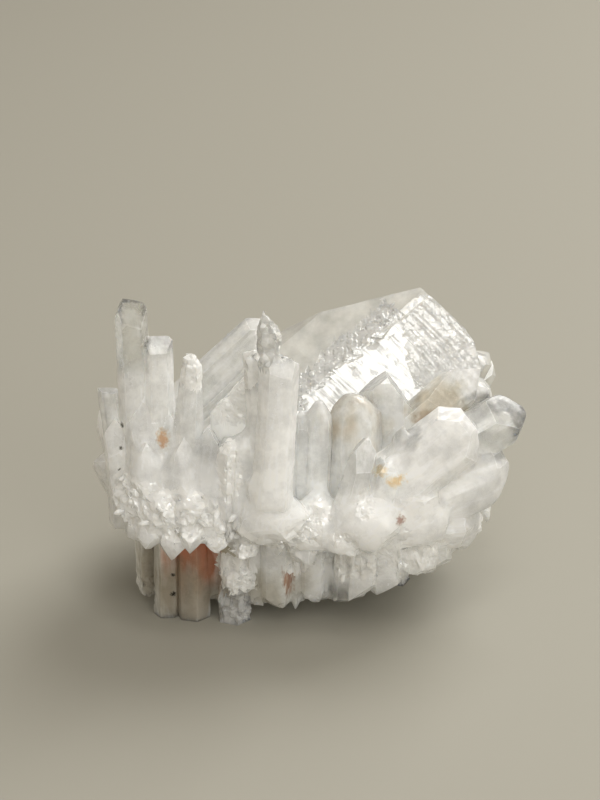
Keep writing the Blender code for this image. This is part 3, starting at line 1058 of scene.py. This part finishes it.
        # Thin clouds and clear crystals let light through, and veils and white veins stop it.
        seen = base
        for part, share in ((clarity, 0.95), (veil, -0.1), (white, -0.35)):
            seen = add_node(
                tree, "ShaderNodeMath", (part, share, seen), operation="MULTIPLY_ADD"
            ).outputs[0]
        seen.node.use_clamp = True
        tree.links.new(seen, shader.inputs["Transmission Weight"])
        lit = add_node(tree, "ShaderNodeMath", (veil, 0.5), operation="MULTIPLY").outputs[0]
        lightened = add_node(tree, "ShaderNodeMath", (lit, white), operation="MAXIMUM").outputs[0]
        colour = add_node(
            tree,
            "ShaderNodeMix",
            {"Factor": lightened, "A": linear(self.body), "B": linear(self.vein)},
            data_type="RGBA",
        ).outputs["Result"]
        # Iron and clay stains, and grey patches low on the columns that are partly painted shade.
        for stain_or_shade in self.stains_and_shade:
            colour = add_node(
                tree,
                "ShaderNodeMix",
                {"Factor": stain_or_shade.mask(tree, coords), "A": colour, "B": linear(stain_or_shade.colour)},
                data_type="RGBA",
            ).outputs["Result"]
        tree.links.new(colour, shader.inputs["Base Color"])
        # The hillocks, over the growth lines that the veils leave on the faces.
        relief = add_node(
            tree, "ShaderNodeMath", (streak, 0.7, hillock), operation="MULTIPLY_ADD"
        ).outputs[0]
        raised = {"Height": relief, "Strength": self.bump, "Distance": 0.6 * MM}
        bump = add_node(tree, "ShaderNodeBump", raised).outputs[0]
        tree.links.new(bump, shader.inputs["Normal"])
        return material


@dataclass(frozen=True)
class ClearQuartz(RockCrystal):
    """Clear rock crystal: glass-like, with a slight haze from fine veils.

    Least and most are the transmission of its hazy and its clear spots.
    """

    name: str = "rock_crystal_clear"
    body: str = "#f3f2ed"
    roughness: float = 0.05
    haze: float = 0.6
    haze_depth: float = 4.0
    spots: float = 0.12
    detail: float = 5.0
    raggedness: float = 0.6
    least: float = 0.33
    most: float = 0.57
    bump: float = 0.12

    def material(self) -> bpy.types.Material:
        """Builds the material.

        Returns:
            The new material.
        """
        material, shader, coords = self.start()
        tree = material.node_tree
        spots = add_node(
            tree,
            "ShaderNodeTexNoise",
            {
                "Vector": coords,
                "Scale": self.spots / MM,
                "Detail": self.detail,
                "Roughness": self.raggedness,
            },
        ).outputs[0]
        span = (spots, 0.35, 0.65, self.least, self.most)
        seen = add_node(tree, "ShaderNodeMapRange", span).outputs[0]
        tree.links.new(seen, shader.inputs["Transmission Weight"])
        if self.bump:
            raised = {"Height": spots, "Strength": self.bump, "Distance": 0.5 * MM}
            bump = add_node(tree, "ShaderNodeBump", raised).outputs[0]
            tree.links.new(bump, shader.inputs["Normal"])
        return material


@dataclass(frozen=True)
class DruzyQuartz(ClearQuartz):
    """A crumpled face of rock crystal, grown over with small flat crystals that flash.

    Its hazy and clear spots are about 3 mm wide.
    """

    name: str = "rock_crystal_druzy"
    body: str = "#fafaf8"
    haze: float = 0.7
    haze_depth: float = 2.5
    shine: float = 1.0
    spots: float = 0.33
    detail: float = 4.0
    least: float = 0.38
    most: float = 0.58
    bump: float = 0.2


@dataclass(frozen=True)
class BrokenQuartz(ClearQuartz):
    """Freshly broken quartz: glassy points that flash, each a little hazed."""

    name: str = "rock_crystal_broken"
    body: str = "#fdfcf9"
    roughness: float = 0.06
    haze: float = 0.85
    haze_depth: float = 1.5
    spots: float = 0.35
    detail: float = 3.0
    raggedness: float = 0.5
    least: float = 0.0
    most: float = 0.3
    bump: float = 0.0


@dataclass(frozen=True)
class MirrorFace(RockCrystal):
    """A face of rock crystal that grew as flat as a mirror, with a few fine growth steps."""

    name: str = "rock_crystal_mirror_face"
    body: str = "#f5f6f6"
    roughness: float = 0.03
    haze: float = 0.6
    haze_depth: float = 4.0
    shine: float = 1.0
    transmission: float = 0.4
    marked_roughness: float = 0.3
    steps: float = 0.45
    pits: float = 0.25
    bump: float = 0.15
    large: LargeCrystal = LargeCrystal()

    def material(self) -> bpy.types.Material:
        """Builds the material.

        Returns:
            The new material.
        """
        material, shader, coords = self.start()
        tree = material.node_tree
        # The place on the face, across and along the crystal, in mm.
        foot = tuple((c - m) * MM for c, m in zip(self.large.foot, MIDDLE))
        off = add_node(
            tree, "ShaderNodeVectorMath", (coords, foot), operation="SUBTRACT"
        ).outputs[0]
        across, along = (
            add_node(
                tree, "ShaderNodeVectorMath", (off, axis / MM), operation="DOT_PRODUCT"
            ).outputs["Value"]
            for axis in (self.large.across, self.large.along)
        )
        flat = add_node(tree, "ShaderNodeCombineXYZ", (across, along, 0.0)).outputs[0]
        # Growth steps that run across the crystal, a few millimetres apart and 0.3 mm wide.
        drawn_out = {"Vector": flat, "Scale": (0.05, 1.0, 1.0)}
        drawn = add_node(tree, "ShaderNodeMapping", drawn_out).outputs[0]
        lines = add_node(
            tree,
            "ShaderNodeTexNoise",
            {"Vector": drawn, "Scale": self.steps, "Detail": 2.0, "Roughness": 0.7},
        ).outputs[0]
        off_line = add_node(tree, "ShaderNodeMath", (lines, 0.56), operation="SUBTRACT").outputs[0]
        apart = add_node(tree, "ShaderNodeMath", (off_line,), operation="ABSOLUTE").outputs[0]
        step = add_node(tree, "ShaderNodeMapRange", (apart, 0.008, 0.024, 1.0, 0.0)).outputs[0]
        # Pits about 4 mm wide, a few of them.
        pits = add_node(
            tree, "ShaderNodeTexNoise", {"Vector": flat, "Scale": self.pits, "Detail": 6.0}
        ).outputs[0]
        pitted = add_node(tree, "ShaderNodeMapRange", (pits, 0.58, 0.64)).outputs[0]
        marked = add_node(tree, "ShaderNodeMath", (step, pitted), operation="MAXIMUM").outputs[0]
        span = (marked, 0.0, 1.0, self.roughness, self.marked_roughness)
        roughness = add_node(tree, "ShaderNodeMapRange", span).outputs[0]
        tree.links.new(roughness, shader.inputs["Roughness"])
        raised = {"Height": lines, "Strength": self.bump, "Distance": 1.0 * MM}
        bump = add_node(tree, "ShaderNodeBump", raised).outputs[0]
        tree.links.new(bump, shader.inputs["Normal"])
        shader.inputs["Transmission Weight"].default_value = self.transmission
        return material


# ------------------------------------------------------------------ studio


@dataclass(frozen=True)
class SoftBox:
    """A square lamp: its place and its side in metres, and its power in watts."""

    name: str
    place: Triple
    side: float
    power: float
    colour: str = "#fbfaf6"

    def build(self, aim: Vector) -> None:
        """Hangs the lamp and turns it to its aim.

        Args:
            aim: the place that it lights, in metres.
        """
        light = bpy.data.lights.new(self.name, "AREA")
        light.shape = "SQUARE"
        light.size = self.side
        light.energy = self.power
        light.color = linear(self.colour)[:3]
        lamp = add_object(self.name, light)
        lamp.location = self.place
        lamp.rotation_euler = (aim - lamp.location).to_track_quat("-Z", "Y").to_euler()


@dataclass(frozen=True)
class Studio:
    """A pale floor, soft boxes and a camera that looks a little down.

    The floor's size is in metres. The aim and the camera's distance from it are in mm.
    """

    floor_colour: str = "#9e9b91"
    floor_size: float = 8.0
    sky_colour: str = "#efe4d0"
    sky_strength: float = 0.4
    aim: Triple = (-3.0, 0.0, 56.0)
    elevation: float = math.radians(25)
    distance: float = 524.7
    lens: float = 85.0
    lamps: tuple[SoftBox, ...] = (
        SoftBox("overhead", (0.06, -0.21, 0.75), 0.18, 0.78),
        SoftBox("key", (0.75, 0.80, 1.25), 1.1, 23.0),
        SoftBox("fill", (0.1, -1.0, 1.2), 1.0, 6.5),
        SoftBox("side", (0.9, -1.1, 0.5), 0.9, 5.3),
    )

    def build(self) -> None:
        """Builds the floor, the lamps, the world and the camera."""
        self._floor()
        self._sky()
        for lamp in self.lamps:
            lamp.build(Vector((0, 0, 0.05)))
        self._camera()
        bpy.context.scene.view_settings.view_transform = "Standard"

    def _floor(self) -> None:
        """Lays the floor."""
        bm = bmesh.new()
        bmesh.ops.create_grid(bm, x_segments=1, y_segments=1, size=self.floor_size / 2)
        floor = add_object("floor", make_mesh("floor", bm))
        material = bpy.data.materials.new("plain_floor")
        material.use_nodes = True
        shader = material.node_tree.nodes["Principled BSDF"]
        shader.inputs["Base Color"].default_value = linear(self.floor_colour)
        shader.inputs["Roughness"].default_value = 0.7
        floor.data.materials.append(material)

    def _sky(self) -> None:
        """Lights the room evenly."""
        world = bpy.data.worlds.new("studio")
        world.use_nodes = True
        background = world.node_tree.nodes["Background"]
        background.inputs["Color"].default_value = linear(self.sky_colour)
        background.inputs["Strength"].default_value = self.sky_strength
        bpy.context.scene.world = world

    def _camera(self) -> None:
        """Sets the camera up."""
        data = bpy.data.cameras.new("camera")
        data.lens = self.lens
        data.clip_start = 0.01
        camera = add_object("camera", data)
        back = Vector((0, -math.cos(self.elevation), math.sin(self.elevation)))
        camera.location = (Vector(self.aim) - Vector(MIDDLE) + back * self.distance) * MM
        camera.rotation_euler = (-back).to_track_quat("-Z", "Y").to_euler()
        bpy.context.scene.camera = camera


SCATTERS = (
    Scatter("crushed_chips", "chipped", 2.2, 0.6, 2.2, 0.7, 0.6, Shape.CHIP, 11),
    Scatter("crushed_points", "chipped", 5.0, 0.8, 1.8, 0.7, 1.4, Shape.POINT, 23),
    Scatter("druzy_flakes", "druzy", 3.0, 0.8, 2.6, 0.22, 0.45, Shape.FLAKE, 37),
)


def place(piece: bpy.types.Object) -> None:
    """Fastens a piece to the cluster and reports it.

    Args:
        piece: a mesh object in its final place.
    """
    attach(piece, BODY)
    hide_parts(NODE)
    LOG.info("%s: %d faces", piece.name, len(piece.data.polygons))


def main() -> None:
    """Builds the dressed cluster and its studio."""
    logging.basicConfig(level=logging.INFO, format="%(name)s: %(message)s")
    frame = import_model()
    Studio().build()
    body = Crystals()
    crystals = body.build(frame["nodes"][NODE])
    foil = DruzyQuartz("rock_crystal_fracture", least=0.0, most=0.14).material()
    materials = {
        Finish.MILKY: MilkyQuartz().material(),
        Finish.CLEAR: ClearQuartz().material(),
        Finish.MIRROR: MirrorFace(large=body.large).material(),
        Finish.DRUZY: DruzyQuartz().material(),
        Finish.FOIL: foil,
    }
    for finish in Finish:
        crystals.data.materials.append(materials[finish])
    place(crystals)
    broken = BrokenQuartz().material()
    for scatter in SCATTERS:
        place(scatter.build(crystals, broken if scatter.shape is Shape.POINT else foil))


if __name__ == "__main__":
    main()
